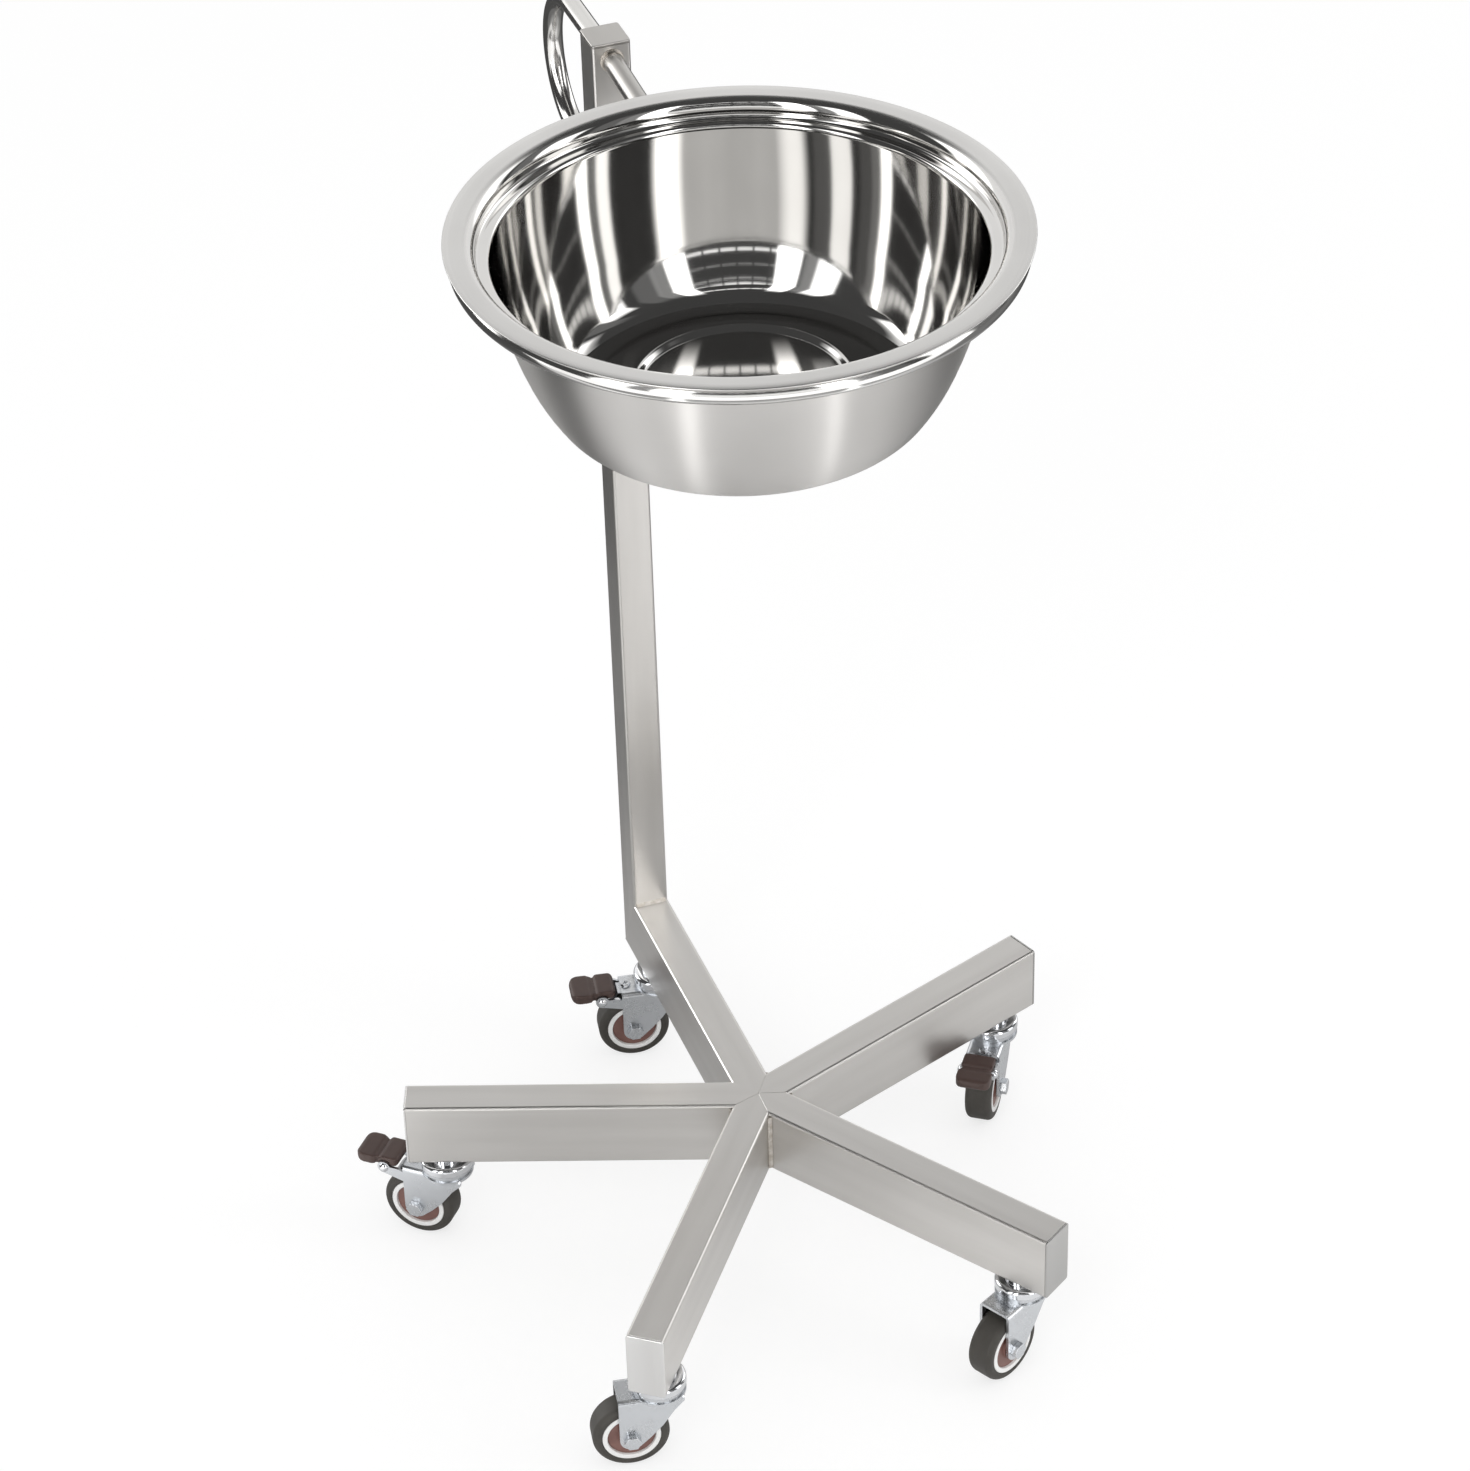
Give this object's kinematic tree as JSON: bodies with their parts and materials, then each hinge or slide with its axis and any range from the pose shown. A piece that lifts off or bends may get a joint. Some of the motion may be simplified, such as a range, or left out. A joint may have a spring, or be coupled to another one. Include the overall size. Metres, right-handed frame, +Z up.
{
  "type": "bowl stand",
  "caption": "Stainless steel surgical bowl stand: a removable round basin in a ring on an offset square post, with a push handle and a legged base on swivel casters, some with foot brakes.",
  "frame": {"origin": "on the floor, under the middle of the hub where the legs meet", "axes": "+Z up; +Y from the hub towards the post and the push handle; +X to the right seen from the front, where the bowl is"},
  "size_m": [0.4767, 0.5512, 0.7924],
  "materials": {
    "satin_steel": "satin, brushed along the tubes",
    "bright_steel": "polished inside, fine satin outside",
    "weld": "ground weld",
    "chrome": "bright",
    "zinc": "bluish zinc plate, semi-gloss",
    "tread": "smooth, matt",
    "white_plastic": "semi-gloss",
    "hub_plastic": "matt",
    "pedal_plastic": "matt"
  },
  "bodies": {
    "stand": {"rear_leg": "satin_steel", "left_leg": "satin_steel", "front_leg": "satin_steel", "right_front_leg": "satin_steel", "right_back_leg": "satin_steel", "leg_end_plates": "satin_steel", "corner_welds": "weld", "post": "satin_steel", "post_cap": "satin_steel", "bowl_arm": "satin_steel", "bowl_ring": "bright_steel", "push_handle": "bright_steel", "frame_welds": "weld", "stem_nuts": "zinc", "swivel_heads": "chrome", "swivel_balls": "chrome"},
    "bowl": {"bowl": "bright_steel"},
    "left_fork_body": {"left_fork": "zinc", "left_axle": "zinc", "left_brake_leaf": "zinc", "left_leaf_screw": "zinc", "left_pedal_pin": "chrome"},
    "left_wheel_body": {"left_tyre": "tread", "left_wheel_core": "white_plastic", "left_hub_covers": "hub_plastic", "left_hub_bush": "chrome"},
    "left_pedal_body": {"left_pedal": "pedal_plastic"},
    "rear_fork_body": {"rear_fork": "zinc", "rear_axle": "zinc", "rear_brake_leaf": "zinc", "rear_leaf_screw": "zinc", "rear_pedal_pin": "chrome"},
    "rear_wheel_body": {"rear_tyre": "tread", "rear_wheel_core": "white_plastic", "rear_hub_covers": "hub_plastic", "rear_hub_bush": "chrome"},
    "rear_pedal_body": {"rear_pedal": "pedal_plastic"},
    "right_back_fork_body": {"right_back_fork": "zinc", "right_back_axle": "zinc", "right_back_brake_leaf": "zinc", "right_back_leaf_screw": "zinc", "right_back_pedal_pin": "chrome"},
    "right_back_wheel_body": {"right_back_tyre": "tread", "right_back_wheel_core": "white_plastic", "right_back_hub_covers": "hub_plastic", "right_back_hub_bush": "chrome"},
    "right_back_pedal_body": {"right_back_pedal": "pedal_plastic"},
    "front_fork_body": {"front_fork": "zinc", "front_axle": "zinc"},
    "front_wheel_body": {"front_tyre": "tread", "front_wheel_core": "white_plastic", "front_hub_covers": "hub_plastic", "front_hub_bush": "chrome"},
    "right_front_fork_body": {"right_front_fork": "zinc", "right_front_axle": "zinc"},
    "right_front_wheel_body": {"right_front_tyre": "tread", "right_front_wheel_core": "white_plastic", "right_front_hub_covers": "hub_plastic", "right_front_hub_bush": "chrome"}
  },
  "joints": [
    {"name": "bowl_lift", "type": "slide", "parent": "stand", "child": "bowl", "axis": [0, 0, 1], "range_m": [0, 0.15]},
    {"name": "left_swivel", "type": "hinge", "parent": "stand", "child": "left_fork_body", "pos_m": [-0.19644, 0.07423, 0.0604], "axis": [0, 0, 1], "continuous": true},
    {"name": "left_wheel_spin", "type": "hinge", "parent": "left_fork_body", "child": "left_wheel_body", "pos_m": [-0.21142, 0.08748, 0.025], "axis": [-0.6626, -0.749, 0], "continuous": true},
    {"name": "left_pedal_tip", "type": "hinge", "parent": "left_fork_body", "child": "left_pedal_body", "pos_m": [-0.2279, 0.10206, 0.0539], "axis": [-0.6626, -0.749, 0], "range_deg": [0, 15]},
    {"name": "rear_swivel", "type": "hinge", "parent": "stand", "child": "rear_fork_body", "pos_m": [0, 0.206, 0.0604], "axis": [0, 0, 1], "continuous": true},
    {"name": "rear_wheel_spin", "type": "hinge", "parent": "rear_fork_body", "child": "rear_wheel_body", "pos_m": [-0.01966, 0.20964, 0.025], "axis": [-0.1822, -0.9833, 0], "continuous": true},
    {"name": "rear_pedal_tip", "type": "hinge", "parent": "rear_fork_body", "child": "rear_pedal_body", "pos_m": [-0.0413, 0.21365, 0.0539], "axis": [-0.1822, -0.9833, 0], "range_deg": [0, 15]},
    {"name": "right_back_swivel", "type": "hinge", "parent": "stand", "child": "right_back_fork_body", "pos_m": [0.19699, 0.07131, 0.0604], "axis": [0, 0, 1], "continuous": true},
    {"name": "right_back_wheel_spin", "type": "hinge", "parent": "right_back_fork_body", "child": "right_back_wheel_body", "pos_m": [0.18538, 0.05503, 0.025], "axis": [0.8141, -0.5807, 0], "continuous": true},
    {"name": "right_back_pedal_tip", "type": "hinge", "parent": "right_back_fork_body", "child": "right_back_pedal_body", "pos_m": [0.1726, 0.03712, 0.0539], "axis": [0.8141, -0.5807, 0], "range_deg": [0, 15]},
    {"name": "front_swivel", "type": "hinge", "parent": "stand", "child": "front_fork_body", "pos_m": [-0.13271, -0.17421, 0.0604], "axis": [0, 0, 1], "continuous": true},
    {"name": "front_wheel_spin", "type": "hinge", "parent": "front_fork_body", "child": "front_wheel_body", "pos_m": [-0.15241, -0.17074, 0.025], "axis": [-0.1736, -0.9848, 0], "continuous": true},
    {"name": "right_front_swivel", "type": "hinge", "parent": "stand", "child": "right_front_fork_body", "pos_m": [0.11591, -0.17512, 0.0604], "axis": [0, 0, 1], "continuous": true},
    {"name": "right_front_wheel_spin", "type": "hinge", "parent": "right_front_fork_body", "child": "right_front_wheel_body", "pos_m": [0.09833, -0.18466, 0.025], "axis": [0.4772, -0.8788, 0], "continuous": true}
  ]
}
